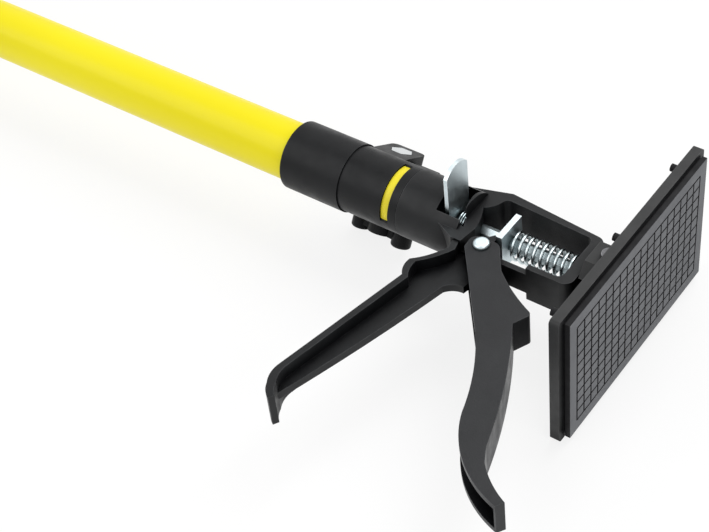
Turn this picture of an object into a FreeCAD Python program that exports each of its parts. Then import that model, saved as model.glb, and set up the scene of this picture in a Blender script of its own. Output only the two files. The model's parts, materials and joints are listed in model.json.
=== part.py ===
import FreeCAD, Part
import math
import os

import Sketcher

# Telescopic support prop: two padded feet, a sliding pole and a squeeze-action head.
# X runs along the pole from the foot pad's face to the head pad's face, Z is up and the
# handles hang towards -Y.  Every place on the head is a distance back from the head pad's face.

Vector = FreeCAD.Vector
Rotation = FreeCAD.Rotation
doc = FreeCAD.newDocument("support_prop")

SIZES = {
    # pole
    "overall_length": 1150.0,
    "outer_tube_r": 15.0,
    "outer_tube_wall": 1.0,
    "inner_tube_r": 13.0,
    "inner_tube_wall": 0.8,
    "inner_tube_length": 880.0,
    "inner_tube_front": 103.0,
    "outer_tube_front": 157.0,
    "bush_head_length": 15.0,
    "bush_shank_length": 20.0,
    "slide_gap": 0.05,
    # clamp collar on the outer tube's front end
    "collar_rear": 190.0,
    "collar_step": 155.5,
    "collar_front": 121.5,
    "collar_sleeve_r": 17.75,
    "collar_nose_r": 17.05,
    "collar_saw_front": 125.8,
    "collar_saw_width": 4.5,
    "collar_saw_reach": 8.3,
    "collar_slit": 2.0,
    "clamp_angle": 31.5,
    "ear_length": 19.5,
    "ear_reach": 28.5,
    "ear_top": 15.5,
    "ear_bottom": 10.8,
    "ear_round": 3.5,
    "bolt_back": 146.2,
    "bolt_out": 19.9,
    "bolt_r": 3.0,
    "bolt_hole_gap": 0.1,
    "bolt_head_flats": 10.0,
    "bolt_head_height": 4.0,
    "bolt_length": 38.0,
    # wing knob
    "washer_r": 6.5,
    "washer_thick": 1.2,
    "knob_hub_r": 7.5,
    "knob_hub_height": 11.0,
    "knob_wing_out": 13.6,
    "knob_wing_r": 5.2,
    "knob_wing_top": 18.6,
    "knob_wing_bottom": 30.3,
    "knob_web_half": 3.6,
    "knob_web_bottom": 27.4,
    "knob_round": 1.5,
    "knob_turn": -9.0,
    # split liner that the clamp squeezes onto the inner tube
    "liner_r": 16.0,
    "liner_rear": 156.7,
    "liner_front": 123.0,
    "liner_slit": 2.0,
    "saw_turn": -22.0,
    "ridge_reach": 19.5,
    "ridge_round": 4.0,
    "nut_r": 5.0,
    "nut_height": 8.0,
    "turn_gap": 0.05,
    # head casting
    "neck_back": 121.2,
    "neck_front": 88.0,
    "neck_r": 17.2,
    "frame_front": 25.0,
    "frame_half": 10.0,
    "frame_low_y": 18.9,
    "frame_high_y": 19.9,
    "frame_high_back": 78.0,
    "frame_nose_y": 14.8,
    "frame_root_back": 99.0,
    "frame_root_y": 13.6,
    "window_back": 85.3,
    "window_front": 30.8,
    "window_low_y": 16.0,
    "window_nose_y": 12.6,
    "window_round": 5.0,
    "rim_start": 47.5,
    "beam_half": 6.0,
    "web_half": 3.0,
    "boss_r": 5.6,
    "beam_start": 62.2,
    "notch_back": 101.2,
    "notch_half_y": 10.5,
    "notch_floor": 13.6,
    "grip_half": 9.0,
    "grip_web_half": 2.1,
    "grip_flange": 3.3,
    "neck_screw_back": 112.0,
    "neck_screw_r": 2.0,
    "neck_screw_head_r": 3.6,
    "neck_screw_head": 1.6,
    # squeeze mechanism
    "rod_flats": 6.0,
    "rod_back": 230.0,
    "rod_front": 19.0,
    "rod_gap": 0.08,
    "stop_r": 8.0,
    "stop_thick": 3.0,
    "drive_back": 69.5,
    "drive_thick": 3.0,
    "drive_half_y": 8.7,
    "drive_half_z": 10.5,
    "release_back": 97.4,
    "release_thick": 2.0,
    "release_half_y": 8.4,
    "release_side_z": 32.5,
    "release_top_z": 36.5,
    "release_hole_gap": 0.6,
    "release_foot_gap": 0.3,
    "spring_mid_r": 6.5,
    "release_mid_r": 5.45,
    "spring_wire": 1.6,
    "spring_seat_gap": 0.1,
    "release_wire": 1.2,
    "release_seat": 90.0,
    # trigger
    "rivet_back": 73.3,
    "rivet_drop": 15.3,
    "rivet_r": 2.5,
    "rivet_head_r": 4.0,
    "rivet_head": 1.9,
    "rivet_round": 1.5,
    "trigger_half": 9.0,
    "trigger_plate": 2.5,
    "cam_inner": 3.4,
    # tilting pads
    "pad_length": 127.0,
    "pad_width": 77.0,
    "pad_plate": 4.8,
    "pad_round": 2.0,
    "rubber_thick": 3.4,
    "rubber_margin_y": 3.5,
    "rubber_margin_z": 2.0,
    "tread_pitch": 6.0,
    "tread_groove": 0.8,
    "tread_depth": 0.6,
    "edge_groove": 0.8,
    "edge_groove_back": 2.4,
    "peg_r": 1.9,
    "peg_length": 5.3,
    "peg_y": 52.0,
    "peg_z": 31.0,
    "pin_back": 15.4,
    "pin_r": 2.5,
    "pin_gap": 0.05,
    "pad_ear_reach": 24.0,
    "pad_ear_base_half": 12.5,
    "pad_ear_top_half": 7.0,
    "pad_ear_thick": 6.7,
    "pad_ear_gap": 1.0,
    "knuckle_half_y": 5.0,
    "knuckle_half_z": 9.3,
    "knuckle_gap": 0.3,
    "cross_pin_r": 1.5,
    # foot plug
    "plug_neck": 8.0,
    "plug_flange": 8.0,
    "plug_flange_r": 17.2,
    "plug_depth": 30.0,
    "plug_screw_r": 1.8,
    "plug_screw_head_r": 3.4,
    "plug_screw_head": 1.4,
}

# Outline points as (x, y).  Trigger and cam are measured from the trigger's rivet,
# the grip from the pole's axis at the head pad's face.
POINTS = {
    "trig_heel": (-6.3, -4.7),
    "trig_palm": (25.6, -45.1),
    "trig_waist": (46.7, -87.5),
    "trig_toe": (84.4, -121.2),
    "trig_tip": (86.7, -117.5),
    "trig_hook": (69.2, -105.0),
    "trig_shin": (65.2, -97.5),
    "trig_neck": (38.3, -34.3),
    "trig_knuckle": (42.6, -25.4),
    "trig_brow": (16.7, -9.4),
    "trig_cheek": (9.7, 0.4),
    "trig_crown": (5.2, 4.3),
    "trig_nape": (-2.6, 4.3),
    "trig_back": (-6.6, 0.0),
    "hollow_top": (15.2, -12.1),
    "hollow_knuckle": (36.6, -25.6),
    "hollow_neck": (35.0, -34.6),
    "hollow_shin": (61.9, -98.6),
    "hollow_hook": (66.0, -107.0),
    "hollow_tip": (83.5, -119.2),
    "cam_heel": (-4.4, -3.4),
    "cam_toe": (5.6, -5.0),
    "cam_cheek": (6.6, -0.8),
    "cam_throat": (3.3, 5.4),
    "cam_nose": (3.3, 8.6),
    "cam_top": (1.4, 9.4),
    "cam_nape": (-4.0, 2.4),
    "wall_foot": (-81.0, -9.0),
    "wall_low": (-78.5, -16.0),
    "wall_top": (-79.0, 15.3),
    "wall_mid": (-85.3, 5.0),
    "gap_root": (-82.2, -17.0),
    "gap_heel": (-85.3, -38.0),
    "notch_heel": (-86.2, -10.5),
    "notch_mid": (-89.0, 1.0),
    "notch_high": (-89.4, 10.5),
    "grip_root": (-88.5, -12.0),
    "grip_throat": (-85.4, -24.0),
    "grip_saddle": (-96.6, -39.5),
    "grip_hollow": (-94.0, -49.5),
    "grip_heel": (-109.0, -121.5),
    "grip_curl": (-107.0, -133.0),
    "grip_lip": (-101.3, -139.6),
    "web_foot": (-103.6, -131.0),
    "web_knee": (-77.9, -41.2),
    "web_crotch": (-69.5, -36.8),
    "web_chin": (-62.2, -19.5),
}


class Size:
    """A number together with the sheet formula that it comes from."""

    def __init__(self, value, text):
        self.value = value
        self.text = text

    def __add__(self, other):
        other = asSize(other)
        return Size(self.value + other.value, "(%s + %s)" % (self.text, other.text))

    def __sub__(self, other):
        other = asSize(other)
        return Size(self.value - other.value, "(%s - %s)" % (self.text, other.text))

    def __mul__(self, other):
        other = asSize(other)
        return Size(self.value * other.value, "(%s * %s)" % (self.text, other.text))

    def __truediv__(self, other):
        other = asSize(other)
        return Size(self.value / other.value, "(%s / %s)" % (self.text, other.text))

    def __neg__(self):
        return Size(-self.value, "(-%s)" % self.text)

    def __radd__(self, other):
        return asSize(other) + self

    def __rsub__(self, other):
        return asSize(other) - self

    def __rmul__(self, other):
        return asSize(other) * self


def asSize(number):
    """Let plain counts such as 2 or 0 stand beside sheet sizes."""
    if isinstance(number, Size):
        return number
    return Size(float(number), repr(float(number)))


def fillSheet():
    """Write every driving size into the sheet and return them by name."""
    sheet = doc.addObject("Spreadsheet::Sheet", "Sizes")
    named = dict(SIZES)
    for name, (x, y) in POINTS.items():
        named[name + "_x"] = x
        named[name + "_y"] = y
    sizes = {}
    for row, (name, value) in enumerate(named.items(), start=1):
        sheet.set("A%d" % row, name)
        sheet.set("B%d" % row, str(value))
        sheet.setAlias("B%d" % row, name)
        sizes[name] = Size(value, "Sizes." + name)
    doc.recompute()
    return sizes


S = fillSheet()
FACE = S["overall_length"]


def at(name):
    """An outline point of the sheet."""
    return (S[name + "_x"], S[name + "_y"])


def bind(item, prop, size):
    size = asSize(size)
    item.setExpression(prop, size.text)


def place(item, x=0, y=0, z=0, turn=None):
    """Put an object at a bound position, with an optional fixed turn."""
    if turn is not None:
        item.Placement = FreeCAD.Placement(Vector(), turn)
    for axis, size in (("x", x), ("y", y), ("z", z)):
        bind(item, "Placement.Base." + axis, size)
    return item


ALONG_X = Rotation(Vector(0, 1, 0), 90)


# ---- solids made from Part primitives ----

def cylinder(name, radius, length, x=0, y=0, z=0, turn=ALONG_X):
    item = doc.addObject("Part::Cylinder", name)
    bind(item, "Radius", radius)
    bind(item, "Height", length)
    return place(item, x, y, z, turn)


def box(name, low, high):
    item = doc.addObject("Part::Box", name)
    for prop, first, last in zip(("Length", "Width", "Height"), low, high):
        bind(item, prop, asSize(last) - first)
    return place(item, *low)


def hexagon(name, flats, length, x=0, y=0, z=0, turn=ALONG_X):
    item = doc.addObject("Part::Prism", name)
    item.Polygon = 6
    bind(item, "Circumradius", asSize(flats) / math.sqrt(3.0))
    bind(item, "Height", length)
    return place(item, x, y, z, turn)


def cut(name, base, tool):
    item = doc.addObject("Part::Cut", name)
    item.Base = base
    item.Tool = tool
    return item


def fuse(name, shapes):
    item = doc.addObject("Part::MultiFuse", name)
    item.Shapes = shapes
    item.Refine = True
    return item


def roundEdges(name, base, radius, wanted):
    """Round the edges of base for which wanted(edge) is true."""
    doc.recompute()
    item = doc.addObject("Part::Fillet", name)
    item.Base = base
    numbers = [n for n, edge in enumerate(base.Shape.Edges, start=1) if wanted(edge)]
    item.Edges = [(n, radius.value, radius.value) for n in numbers]
    return item


# ---- sketches and PartDesign features ----

def newBody(name, x=0, y=0, z=0, turn=None):
    body = doc.addObject("PartDesign::Body", name)
    return place(body, x, y, z, turn)


def onPlane(body, name, role, offset=0):
    """A sketch on one of the body's origin planes, lifted along the plane's normal."""
    sketch = body.newObject("Sketcher::SketchObject", name)
    for feature in body.Origin.OriginFeatures:
        if feature.Role == role:
            sketch.AttachmentSupport = [(feature, "")]
    sketch.MapMode = "FlatFace"
    bind(sketch, "AttachmentOffset.Base.z", offset)
    return sketch


def pin(sketch, geometry, point, x, y):
    """Fix a vertex at sheet sizes."""
    for kind, size in (("DistanceX", asSize(x)), ("DistanceY", asSize(y))):
        number = sketch.addConstraint(Sketcher.Constraint(kind, -1, 1, geometry, point, size.value))
        sketch.setExpression("Constraints[%d]" % number, size.text)


def circle(sketch, radius, x=0, y=0):
    centre = Vector(asSize(x).value, asSize(y).value, 0)
    number = sketch.addGeometry(Part.Circle(centre, Vector(0, 0, 1), asSize(radius).value))
    pin(sketch, number, 3, x, y)
    dimension = sketch.addConstraint(Sketcher.Constraint("Radius", number, asSize(radius).value))
    sketch.setExpression("Constraints[%d]" % dimension, asSize(radius).text)


def outline(sketch, points, bulges=None):
    """A closed outline.  bulges gives, by side, how far that side bows to its left."""
    bulges = bulges or {}
    points = [(asSize(x), asSize(y)) for x, y in points]
    count = len(points)
    ends = []
    for side, start in enumerate(points):
        end = points[(side + 1) % count]
        first = Vector(start[0].value, start[1].value, 0)
        last = Vector(end[0].value, end[1].value, 0)
        if side in bulges:
            sketch.addGeometry(bowedSide(first, last, bulges[side]))
            ends.append((2, 1) if bulges[side] > 0 else (1, 2))
        else:
            sketch.addGeometry(Part.LineSegment(first, last))
            ends.append((1, 2))
    for side, start in enumerate(points):
        after = (side + 1) % count
        sketch.addConstraint(Sketcher.Constraint("Coincident", side, ends[side][1], after, ends[after][0]))
        pin(sketch, side, ends[side][0], *start)
    for side, bulge in bulges.items():
        holdRadius(sketch, side, points[side], points[(side + 1) % count], abs(bulge))


def bowedSide(first, last, bulge):
    """The arc from first to last whose middle lies bulge to the left of the chord."""
    chord = last - first
    left = Vector(-chord.y, chord.x, 0).normalize()
    radius = (chord.Length ** 2 / 4 + bulge ** 2) / (2 * abs(bulge))
    side = 1 if bulge > 0 else -1
    centre = (first + last) * 0.5 + left * (bulge - side * radius)
    begin, finish = (last, first) if bulge > 0 else (first, last)
    angles = [math.atan2(point.y - centre.y, point.x - centre.x) for point in (begin, finish)]
    if angles[1] < angles[0]:
        angles[1] += 2 * math.pi
    return Part.ArcOfCircle(Part.Circle(centre, Vector(0, 0, 1), radius), angles[0], angles[1])


def holdRadius(sketch, side, start, end, bulge):
    """Hold an arc's radius at what its chord and bow give."""
    across = end[0] - start[0]
    along = end[1] - start[1]
    radius = ((across * across + along * along) / 4 + bulge * bulge) / (2 * bulge)
    number = sketch.addConstraint(Sketcher.Constraint("Radius", side, radius.value))
    sketch.setExpression("Constraints[%d]" % number, radius.text)


def rectangle(sketch, low, high):
    outline(sketch, [low, (high[0], low[1]), high, (low[0], high[1])])


def extrude(body, kind, name, sketch, length, side="One side", back=False):
    item = body.newObject("PartDesign::" + kind, name)
    item.Profile = sketch
    item.SideType = side
    item.Reversed = back
    bind(item, "Length", length)
    sketch.Visibility = False
    return item


def pad(body, name, sketch, length, side="One side", back=False):
    return extrude(body, "Pad", name, sketch, length, side, back)


def pocket(body, name, sketch, length, side="One side", back=False):
    """A pocket, with a check that it really takes material away."""
    doc.recompute()
    before = body.Tip.Shape.Volume
    item = extrude(body, "Pocket", name, sketch, length, side, back)
    doc.recompute()
    if item.Shape.Volume > before - 0.01:
        raise RuntimeError(name + " cuts nothing")
    return item


def fillet(body, name, radius, wanted):
    """Round the tip's edges for which wanted(edge) is true."""
    doc.recompute()
    base = body.Tip
    edges = ["Edge%d" % n for n, edge in enumerate(base.Shape.Edges, start=1) if wanted(edge)]
    item = body.newObject("PartDesign::Fillet", name)
    item.Base = (base, edges)
    bind(item, "Radius", radius)
    return item


def upright(edge):
    """True for a straight edge along Z."""
    if not isinstance(edge.Curve, Part.Line):
        return False
    return abs(edge.tangentAt(edge.FirstParameter).z) > 0.999


def near(edge, x, y, reach=0.5):
    centre = edge.CenterOfMass
    return math.hypot(centre.x - asSize(x).value, centre.y - asSize(y).value) < reach


# ---- pole ----

def outerTube():
    start = footBack()
    length = FACE - S["outer_tube_front"] - start
    skin = cylinder("outer_tube_skin", S["outer_tube_r"], length, start)
    bore = cylinder("outer_tube_bore", S["outer_tube_r"] - S["outer_tube_wall"], length, start)
    tube = cut("outer_tube_blank", skin, bore)
    hole = cylinder("outer_tube_screw_hole", S["plug_screw_r"], 2 * S["outer_tube_r"],
                    plugScrewX(), 0, -2 * S["outer_tube_r"], Rotation())
    return cut("outer_tube", tube, hole)


def innerTube():
    front = FACE - S["inner_tube_front"]
    start = front - S["inner_tube_length"]
    skin = cylinder("inner_tube_skin", S["inner_tube_r"], S["inner_tube_length"], start)
    bore = cylinder("inner_tube_bore", innerBore(), S["inner_tube_length"], start)
    tube = cut("inner_tube_blank", skin, bore)
    hole = cylinder("inner_tube_screw_hole", S["neck_screw_r"], 2 * S["inner_tube_r"],
                    FACE - S["neck_screw_back"], 0, -2 * S["inner_tube_r"], Rotation())
    return cut("inner_tube", tube, hole)


def innerBore():
    return S["inner_tube_r"] - S["inner_tube_wall"]


def guideBush():
    """Plastic plug in the inner tube's rear end, whose head slides in the outer tube."""
    seam = FACE - S["inner_tube_front"] - S["inner_tube_length"]
    head = cylinder("bush_head", S["outer_tube_r"] - S["outer_tube_wall"] - S["slide_gap"],
                    S["bush_head_length"], seam - S["bush_head_length"])
    shank = cylinder("bush_shank", innerBore() - S["turn_gap"], S["bush_shank_length"], seam)
    return fuse("guide_bush", [head, shank])


# ---- clamp collar: its own frame is turned so that the ears point along +Y ----

CLAMP = Rotation(Vector(1, 0, 0), -SIZES["clamp_angle"])


def clampFrame(item):
    """Turn a piece built in the clamp's own frame to its place on the pole."""
    item.Placement = FreeCAD.Placement(Vector(), CLAMP)
    bind(item, "Placement.Base.x", FACE)
    return item


def clampCollar():
    sleeve = cylinder("collar_sleeve", S["collar_sleeve_r"], S["collar_rear"] - S["collar_step"],
                      -S["collar_rear"])
    nose = cylinder("collar_nose", S["collar_nose_r"], S["collar_step"] - S["collar_front"],
                    -S["collar_step"])
    body = fuse("collar_body", [sleeve, nose, clampEars(), clampRidge()])
    seat = cylinder("collar_seat", S["outer_tube_r"], S["collar_rear"] - S["outer_tube_front"],
                    -S["collar_rear"])
    nest = cylinder("collar_liner_seat", S["liner_r"], S["outer_tube_front"] - S["liner_front"],
                    -S["outer_tube_front"])
    bore = cylinder("collar_bore", S["inner_tube_r"] + S["slide_gap"],
                    S["outer_tube_front"] - S["collar_front"], -S["outer_tube_front"])
    reach = S["ear_reach"]
    slit = box("collar_slit_cut", (-S["collar_step"], 0, -S["collar_slit"] / 2),
               (-S["collar_front"], reach + 1, S["collar_slit"] / 2))
    hole = cylinder("collar_bolt_hole", S["bolt_r"] + S["bolt_hole_gap"], 2 * reach,
                    -S["bolt_back"], S["bolt_out"], -reach, Rotation())
    socket = hexagon("collar_bolt_socket", S["bolt_head_flats"] + 2 * S["bolt_hole_gap"], reach,
                     -S["bolt_back"], S["bolt_out"], S["ear_top"] - S["bolt_head_height"], Rotation())
    cuts = [seat, nest, bore, collarSaw(), slit, hole, socket]
    return clampFrame(cut("clamp_collar", body, fuse("collar_cuts", cuts)))


def collarSaw():
    """The saw kerf across the collar, turned about the pole to the side away from the ears."""
    reach = S["ear_reach"]
    kerf = box("collar_kerf", (-S["collar_saw_front"] - S["collar_saw_width"], -reach, -reach),
               (-S["collar_saw_front"], -S["collar_saw_reach"], reach))
    disc = cylinder("collar_saw_disc", reach, S["collar_saw_width"],
                    -S["collar_saw_front"] - S["collar_saw_width"])
    saw = doc.addObject("Part::MultiCommon", "collar_saw")
    saw.Shapes = [kerf, disc]
    saw.Placement = FreeCAD.Placement(Vector(), Rotation(Vector(1, 0, 0), SIZES["saw_turn"]))
    return saw


def clampRidge():
    """Low ridge that carries the clamp's slit forward from the ears to the collar's mouth."""
    ridge = box("collar_ridge", (-S["collar_step"], 0, -S["ear_bottom"]),
                (-S["collar_front"], S["ridge_reach"], S["ear_top"] - S["ridge_round"] / 2))
    reach = SIZES["ridge_reach"] - 1
    return roundEdges("collar_ridge_round", ridge, S["ridge_round"],
                      lambda edge: abs(edge.tangentAt(edge.FirstParameter).x) > 0.9
                      and edge.CenterOfMass.y > reach)


def clampLiner():
    """Yellow split liner round the inner tube, seen through the collar's saw kerf."""
    length = S["liner_rear"] - S["liner_front"] - S["spring_seat_gap"]
    skin = cylinder("liner_skin", S["liner_r"], length, -S["liner_rear"])
    bore = cylinder("liner_bore", S["inner_tube_r"] + S["slide_gap"], length, -S["liner_rear"])
    slit = box("liner_slit_cut", (-S["liner_rear"], 0, -S["liner_slit"] / 2),
               (-S["liner_front"], S["liner_r"] + 1, S["liner_slit"] / 2))
    return clampFrame(cut("clamp_liner", skin, fuse("liner_cuts", [bore, slit])))


def clampEars():
    rear = -S["bolt_back"] - S["ear_length"] / 2
    front = -S["bolt_back"] + S["ear_length"] / 2
    ears = box("collar_ears", (rear, 0, -S["ear_bottom"]), (front, S["ear_reach"], S["ear_top"]))
    outer = SIZES["ear_reach"] - 1
    return roundEdges("collar_ears_round", ears, S["ear_round"],
                      lambda edge: upright(edge) and edge.CenterOfMass.y > outer)


def clampBolt():
    length = S["bolt_length"]
    head = hexagon("bolt_head", S["bolt_head_flats"], S["bolt_head_height"],
                   -S["bolt_back"], S["bolt_out"], S["ear_top"] - S["bolt_head_height"], Rotation())
    shank = cylinder("bolt_shank", S["bolt_r"], length, -S["bolt_back"], S["bolt_out"],
                     S["ear_top"] - length, Rotation())
    return clampFrame(fuse("clamp_bolt", [head, shank]))


def clampWasher():
    top = -S["ear_bottom"]
    disc = cylinder("washer_disc", S["washer_r"], S["washer_thick"], -S["bolt_back"], S["bolt_out"],
                    top - S["washer_thick"], Rotation())
    hole = cylinder("washer_hole", S["bolt_r"] + S["bolt_hole_gap"], S["washer_thick"],
                    -S["bolt_back"], S["bolt_out"], top - S["washer_thick"], Rotation())
    return clampFrame(cut("clamp_washer", disc, hole))


def knobTop():
    return -S["ear_bottom"] - S["washer_thick"] - S["spring_seat_gap"]


def knobFrame(item):
    """Put a piece built round Z on the clamp bolt's axis, turned to where the wings rest."""
    turn = CLAMP * Rotation(Vector(0, 0, 1), SIZES["knob_turn"])
    item.Placement = FreeCAD.Placement(Vector(), turn)
    angle = S["clamp_angle"].text
    bind(item, "Placement.Base.x", FACE - S["bolt_back"])
    item.setExpression("Placement.Base.y", "%s * cos(%s * 1 deg)" % (S["bolt_out"].text, angle))
    item.setExpression("Placement.Base.z", "-%s * sin(%s * 1 deg)" % (S["bolt_out"].text, angle))
    return item


def knobDisc(name, radius, height, top, x=0):
    """A cylinder along the knob's axis, given by its upper end."""
    return cylinder(name, radius, height, x, 0, top - height, Rotation())


def wingKnob():
    """Two-winged knob round a threaded insert, turning on the clamp bolt."""
    top = -S["knob_wing_top"]
    hub = knobDisc("knob_hub", S["knob_hub_r"], S["knob_hub_height"], knobTop())
    depth = S["knob_wing_bottom"] - S["knob_wing_top"]
    wings = [knobDisc("knob_wing_%s" % name, S["knob_wing_r"], depth, top, side * S["knob_wing_out"])
             for name, side in (("rear", -1), ("front", 1))]
    web = box("knob_web", (-S["knob_wing_out"], -S["knob_web_half"], -S["knob_web_bottom"]),
              (S["knob_wing_out"], S["knob_web_half"], top))
    core = knobDisc("knob_core", S["knob_hub_r"], S["knob_web_bottom"] - S["knob_wing_top"], top)
    low = -SIZES["knob_wing_bottom"]
    blank = fuse("knob_blank", [web, core] + wings)
    rounded = roundEdges("knob_wings_round", blank, S["knob_round"],
                         lambda edge: abs(edge.CenterOfMass.z - low) < 0.1)
    body = fuse("knob_body", [hub, rounded])
    hole = knobDisc("knob_hole", S["bolt_r"] + S["turn_gap"], S["knob_web_bottom"], asSize(0))
    seat = knobDisc("knob_nut_seat", S["nut_r"], S["nut_height"], knobTop())
    return knobFrame(cut("wing_knob", body, fuse("knob_cuts", [hole, seat])))


def knobNut():
    nut = knobDisc("nut_blank", S["nut_r"], S["nut_height"], knobTop())
    hole = knobDisc("nut_hole", S["bolt_r"] + S["turn_gap"], S["nut_height"], knobTop())
    return knobFrame(cut("knob_nut", nut, hole))


# ---- head casting ----

def headBody():
    body = newBody("head_body", FACE)
    neck = onPlane(body, "neck_circle", "YZ_Plane", -S["neck_back"])
    circle(neck, S["neck_r"])
    pad(body, "neck", neck, S["neck_back"] - S["neck_front"])
    headFrame(body)
    headBeam(body)
    headGrip(body)
    headCuts(body)
    return body


def headFrame(body):
    frame = onPlane(body, "frame_outline", "XY_Plane")
    outline(frame, [(-S["frame_root_back"], -S["frame_root_y"]), (-S["neck_front"], -S["frame_low_y"]),
                    (-S["frame_front"], -S["frame_low_y"]), (-S["frame_front"], S["frame_nose_y"]),
                    (-S["frame_high_back"], S["frame_high_y"]), (-S["frame_root_back"], S["frame_root_y"])])
    pad(body, "frame", frame, 2 * S["frame_half"], "Symmetric")
    fillet(body, "frame_corners", S["window_round"],
           lambda edge: upright(edge) and (near(edge, -S["frame_front"], -S["frame_low_y"])
                                           or near(edge, -S["frame_front"], S["frame_nose_y"])))
    window = onPlane(body, "window_outline", "XY_Plane")
    outline(window, [at("wall_foot"), at("wall_low"), (-S["window_front"], -S["window_low_y"]),
                     (-S["window_front"], S["window_nose_y"]), at("wall_top"), at("wall_mid")],
            {4: 1.6, 5: 0.8})
    pocket(body, "window", window, 3 * S["neck_r"], "Symmetric")
    inner = [(-S["window_front"], -S["window_low_y"]), (-S["window_front"], S["window_nose_y"]),
             at("wall_top")]
    fillet(body, "window_corners", S["window_round"] - S["pad_round"],
           lambda edge: upright(edge) and any(near(edge, x, y) for x, y in inner))


def headBeam(body):
    """The lower side wall is thinned so that the trigger's ears can straddle it."""
    low = -S["frame_low_y"]
    high = -S["window_low_y"]
    clear = onPlane(body, "beam_clearance", "XY_Plane")
    outline(clear, [at("gap_root"), at("gap_heel"), (-S["rim_start"], 2 * low),
                    (-S["rim_start"], high + S["boss_r"]), at("wall_foot")])
    pocket(body, "beam_gap", clear, 3 * S["neck_r"], "Symmetric")
    beam = onPlane(body, "beam_outline", "XY_Plane")
    rectangle(beam, (-S["beam_start"], low), (-S["rim_start"], high))
    pad(body, "beam", beam, 2 * S["beam_half"], "Symmetric")
    web = onPlane(body, "web_outline", "XY_Plane")
    outline(web, [(-S["window_back"], low), (-S["beam_start"], low), (-S["beam_start"], high),
                  (-S["window_back"], high)])
    pad(body, "web", web, 2 * S["web_half"], "Symmetric")
    boss = onPlane(body, "boss_circle", "XY_Plane")
    circle(boss, S["boss_r"], -S["rivet_back"], -S["rivet_drop"])
    pad(body, "boss", boss, 2 * S["web_half"], "Symmetric")


def headGrip(body):
    """The fixed grip: a broad rear flange stiffened by one central web."""
    outer = [at("grip_" + name) for name in ("root", "throat", "saddle", "hollow", "heel", "curl", "lip")]
    wall = S["grip_flange"]
    root, throat, saddle, hollow, heel, curl, lip = outer
    inner = [(lip[0] + wall / 2, lip[1] + wall * 0.8), (curl[0] + wall, curl[1] + wall * 0.7),
             (heel[0] + wall, heel[1]), (hollow[0] + wall, hollow[1]), (saddle[0] + wall, saddle[1]),
             (throat[0] + wall, throat[1]), (root[0] + wall, root[1])]
    flange = onPlane(body, "grip_flange_outline", "XY_Plane")
    outline(flange, outer + inner, {1: 1.2, 2: -1.2, 4: -1.2, 5: -0.8, 7: 0.6, 8: 0.8, 10: 1.0, 11: -0.9})
    pad(body, "grip_flange", flange, 2 * S["grip_half"], "Symmetric")
    web = onPlane(body, "grip_web_outline", "XY_Plane")
    half = wall / 2
    outline(web, [(-S["neck_front"], root[1]), (throat[0] + half, throat[1]), (saddle[0] + half, saddle[1]),
                  (hollow[0] + half, hollow[1]), (heel[0] + half, heel[1]), at("web_foot"), at("web_knee"),
                  at("web_crotch"), at("web_chin"), (-S["beam_start"], -S["window_low_y"]),
                  (-S["window_back"], root[1])],
            {5: -1.0, 6: 1.2, 7: 1.0})
    pad(body, "grip_web", web, 2 * S["grip_web_half"], "Symmetric")


def headCuts(body):
    reach = S["neck_r"]
    notch = onPlane(body, "notch_outline", "XY_Plane", -S["notch_floor"])
    outline(notch, [(-S["notch_back"], -S["notch_half_y"]), at("notch_heel"), at("notch_mid"),
                    at("notch_high"), (-S["notch_back"], S["notch_half_y"])],
            {1: 0.6, 2: 0.4})
    pocket(body, "notch", notch, 3 * reach, back=True)
    bore = onPlane(body, "neck_bore_circle", "YZ_Plane", -S["neck_back"])
    circle(bore, S["inner_tube_r"])
    pocket(body, "neck_bore", bore, S["neck_back"] - S["inner_tube_front"], back=True)
    rodHole = onPlane(body, "rod_hole_circle", "YZ_Plane", -S["neck_back"])
    circle(rodHole, rodCorner() + S["rod_gap"])
    pocket(body, "rod_hole", rodHole, S["neck_back"], back=True)
    rivet = onPlane(body, "rivet_hole_circle", "XY_Plane")
    circle(rivet, S["rivet_r"], -S["rivet_back"], -S["rivet_drop"])
    pocket(body, "rivet_hole", rivet, 3 * reach, "Symmetric")
    screw = onPlane(body, "neck_screw_circle", "XY_Plane", -2 * reach)
    circle(screw, S["neck_screw_r"], -S["neck_screw_back"], 0)
    pocket(body, "neck_screw_hole", screw, 2 * reach, back=True)


def rodCorner():
    """Half the rod's width across its corners."""
    return S["rod_flats"] / math.sqrt(3.0)


def neckScrew():
    """Screw that holds the head on the inner tube, driven from below."""
    x = FACE - S["neck_screw_back"]
    head = cylinder("neck_screw_cap", S["neck_screw_head_r"], S["neck_screw_head"], x, 0,
                    -S["neck_r"] - S["neck_screw_head"], Rotation())
    shank = cylinder("neck_screw_shank", S["neck_screw_r"], S["neck_r"] - innerBore() + 1, x, 0,
                     -S["neck_r"], Rotation())
    return fuse("neck_screw", [head, shank])


# ---- squeeze mechanism ----

def pushRod():
    rod = hexagon("rod_blank", S["rod_flats"], S["rod_back"] - S["rod_front"], FACE - S["rod_back"])
    hole = cylinder("rod_pin_hole", S["cross_pin_r"], 2 * S["rod_flats"], FACE - crossPinBack(), 0,
                    -S["rod_flats"], Rotation())
    return cut("push_rod", rod, hole)


def rodStop():
    """Ring on the rod's rear end that keeps it from being pulled out."""
    start = FACE - S["rod_back"]
    ring = cylinder("rod_stop_ring", S["stop_r"], S["stop_thick"], start)
    hole = hexagon("rod_stop_hole", S["rod_flats"], S["stop_thick"], start)
    return cut("rod_stop", ring, hole)


def drivePlate():
    body = newBody("drive_plate", FACE - S["drive_back"])
    face = onPlane(body, "drive_outline", "YZ_Plane")
    rectangle(face, (-S["drive_half_y"], -S["drive_half_z"]), (S["drive_half_y"], S["drive_half_z"]))
    pad(body, "drive_blank", face, S["drive_thick"])
    hole = onPlane(body, "drive_hole_circle", "YZ_Plane")
    circle(hole, rodCorner() + S["rod_gap"])
    pocket(body, "drive_hole", hole, S["drive_thick"], back=True)
    return body


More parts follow.
